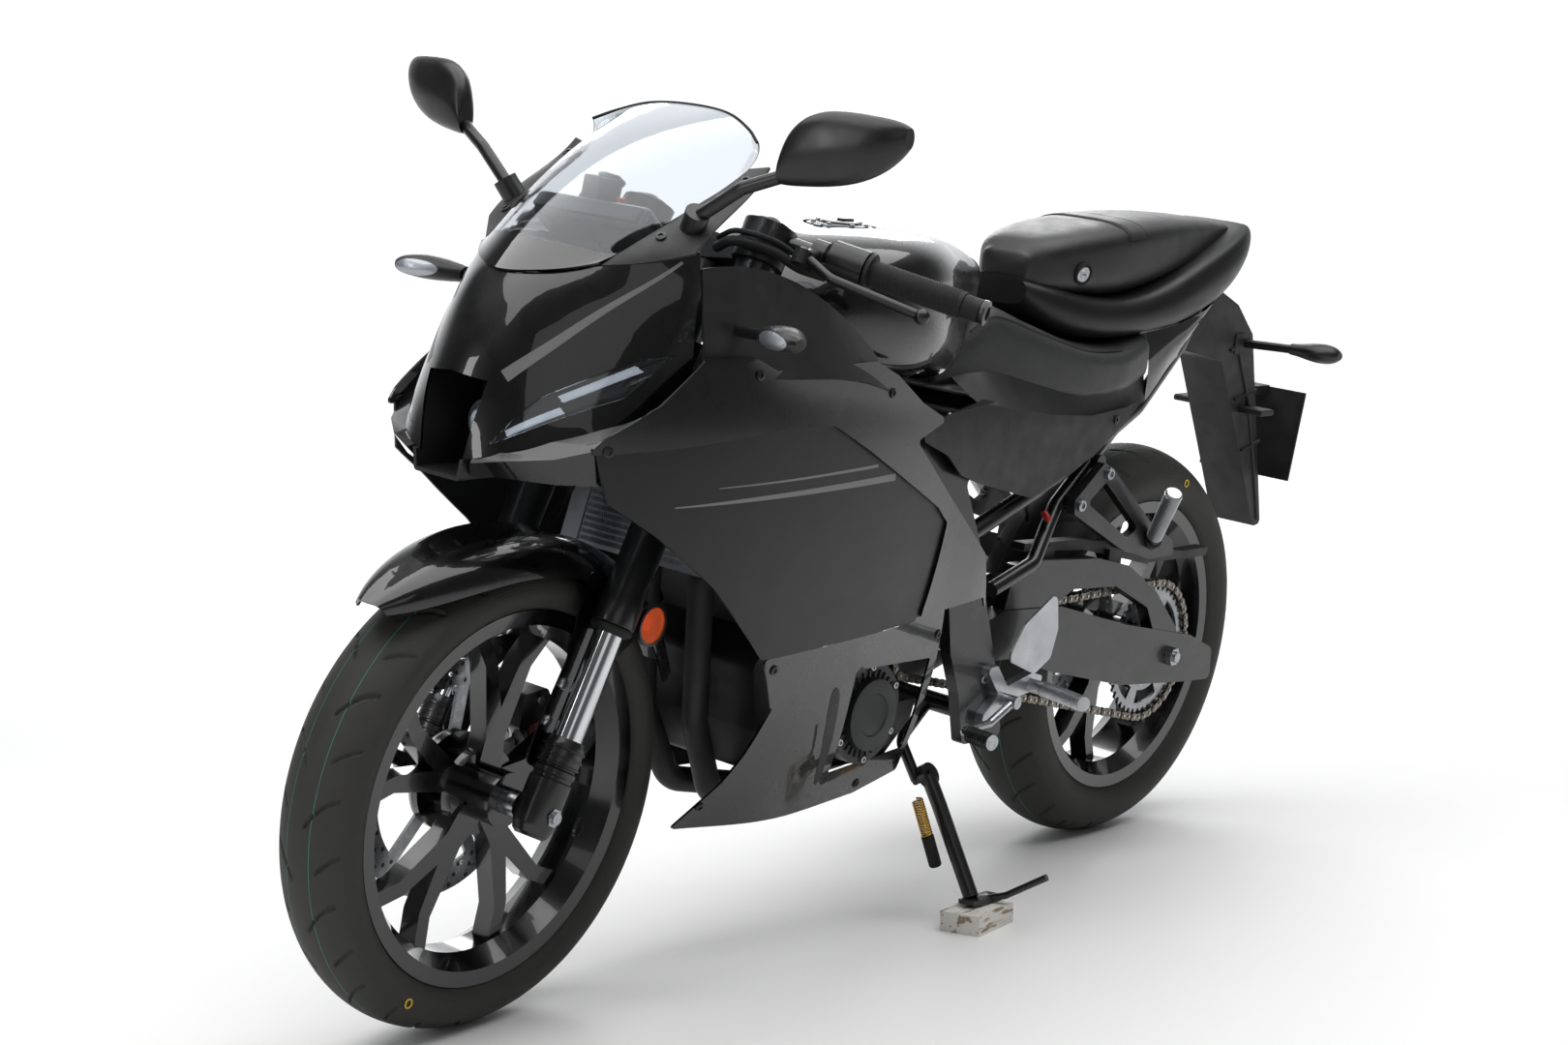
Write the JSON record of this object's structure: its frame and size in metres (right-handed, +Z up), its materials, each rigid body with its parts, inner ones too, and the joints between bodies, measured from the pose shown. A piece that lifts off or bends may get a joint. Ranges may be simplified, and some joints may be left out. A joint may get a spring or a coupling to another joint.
{
  "type": "sport bike",
  "caption": "Fully faired sport motorcycle that leans on its side stand, the foot on a small wooden block; the fork steers, the wheels turn, the stand folds and the filler cap opens.",
  "frame": {"origin": "centre of the overall box at floor level, the machine leaning on its side stand", "axes": "+X to the front of the machine, +Y to the rider's left, +Z up"},
  "size_m": [2.0909, 0.7944, 1.1775],
  "materials": {
    "air_intake": "matt black",
    "bar_controls": "matt black",
    "belly_panels": "gloss black",
    "brake_hose": "rubber hose",
    "chain": "oiled steel",
    "chain_guard": "matt black",
    "engine": "matt black cast aluminium",
    "engine_covers": "satin black cast aluminium",
    "exhaust": "matt dark grey heat-proof paint",
    "foot_levers": "black-plated steel",
    "fork_feet": "satin black paint",
    "fork_inner_tubes": "hard chrome",
    "fork_outer_tubes": "satin black anodised",
    "frame": "satin black paint",
    "front_axle": "zinc-plated steel",
    "front_caliper": "satin black",
    "front_disc": "ground steel",
    "front_fender": "gloss black",
    "front_reflectors": "amber reflector",
    "front_rim": "satin black cast aluminium",
    "front_tyre": "matt black rubber",
    "fuel_cap": "satin aluminium",
    "fuel_tank": "gloss black",
    "grips": "matt rubber",
    "handlebars": "satin black",
    "headlamps": "clear lens over reflectors",
    "indicators": "clear lens, black stalk",
    "inner_panels": "matt black",
    "instrument_panel": "matt black",
    "mirrors": "matt black",
    "nose_cowl": "gloss black",
    "nose_wings": "gloss black",
    "passenger_footrests": "satin black",
    "passenger_seat": "black grained vinyl",
    "plate_holder": "blank plate",
    "radiator": "bright aluminium fins",
    "rear_axle": "zinc-plated steel",
    "rear_caliper": "satin black",
    "rear_disc": "ground steel",
    "rear_fender": "matt black",
    "rear_rim": "satin black cast aluminium",
    "rear_shock": "grey steel spring",
    "rear_sprocket": "zinc-plated steel",
    "rear_subframe": "satin black paint",
    "rear_tyre": "matt black rubber",
    "rider_footrests": "bright cast aluminium",
    "rider_seat": "black grained vinyl",
    "screen_cheeks": "matt black",
    "shoulder_panels": "gloss black",
    "side_covers": "matt black",
    "side_panels": "matt dark grey",
    "side_stand": "satin black steel",
    "stand_block": "worn white paint on wood",
    "swingarm": "satin black paint",
    "tail_cowl": "gloss black",
    "tail_lamp": "clear red",
    "triple_clamps": "satin black cast aluminium",
    "windscreen": "smoked acrylic"
  },
  "bodies": {
    "chassis": {"air_intake": "air_intake", "belly_panels": "belly_panels", "chain": "chain", "chain_guard": "chain_guard", "engine": "engine", "engine_covers": "engine_covers", "exhaust": "exhaust", "foot_levers": "foot_levers", "frame": "frame", "fuel_tank": "fuel_tank", "headlamps": "headlamps", "indicators": "indicators", "inner_panels": "inner_panels", "instrument_panel": "instrument_panel", "mirrors": "mirrors", "nose_cowl": "nose_cowl", "nose_wings": "nose_wings", "passenger_footrests": "passenger_footrests", "passenger_seat": "passenger_seat", "plate_holder": "plate_holder", "radiator": "radiator", "rear_axle": "rear_axle", "rear_caliper": "rear_caliper", "rear_fender": "rear_fender", "rear_shock": "rear_shock", "rear_subframe": "rear_subframe", "rider_footrests": "rider_footrests", "rider_seat": "rider_seat", "screen_cheeks": "screen_cheeks", "shoulder_panels": "shoulder_panels", "side_covers": "side_covers", "side_panels": "side_panels", "stand_block": "stand_block", "swingarm": "swingarm", "tail_cowl": "tail_cowl", "tail_lamp": "tail_lamp", "windscreen": "windscreen"},
    "steering": {"fork_outer_tubes": "fork_outer_tubes", "fork_inner_tubes": "fork_inner_tubes", "fork_feet": "fork_feet", "front_axle": "front_axle", "triple_clamps": "triple_clamps", "handlebars": "handlebars", "grips": "grips", "bar_controls": "bar_controls", "front_fender": "front_fender", "front_caliper": "front_caliper", "front_reflectors": "front_reflectors", "brake_hose": "brake_hose"},
    "front_wheel": {"front_rim": "front_rim", "front_tyre": "front_tyre", "front_disc": "front_disc"},
    "rear_wheel": {"rear_rim": "rear_rim", "rear_tyre": "rear_tyre", "rear_disc": "rear_disc", "rear_sprocket": "rear_sprocket"},
    "side_stand": {"side_stand": "side_stand"},
    "fuel_cap": {"fuel_cap": "fuel_cap"}
  },
  "joints": [
    {"name": "steering", "type": "hinge", "parent": "chassis", "child": "steering", "pos_m": [0.46515, -0.03868, 0.81459], "axis": [-0.4226, 0.118, 0.8986], "range_deg": [-37.36, 30.64]},
    {"name": "front_wheel_spin", "type": "hinge", "parent": "steering", "child": "front_wheel", "pos_m": [0.75283, -0.10521, 0.29092], "axis": [-0.0531, 0.9866, -0.1545], "continuous": true},
    {"name": "rear_wheel_spin", "type": "hinge", "parent": "chassis", "child": "rear_wheel", "pos_m": [-0.62711, -0.10466, 0.31205], "axis": [0, 0.9915, -0.1302], "continuous": true},
    {"name": "side_stand_fold", "type": "hinge", "parent": "chassis", "child": "side_stand", "pos_m": [-0.02311, -0.00267, 0.1978], "axis": [0, 0.8868, 0.4621], "range_deg": [0, 88]},
    {"name": "fuel_cap_hinge", "type": "hinge", "parent": "chassis", "child": "fuel_cap", "pos_m": [0.20839, -0.0191, 0.96376], "axis": [0, 0.9915, -0.1302], "range_deg": [0, 90]}
  ]
}
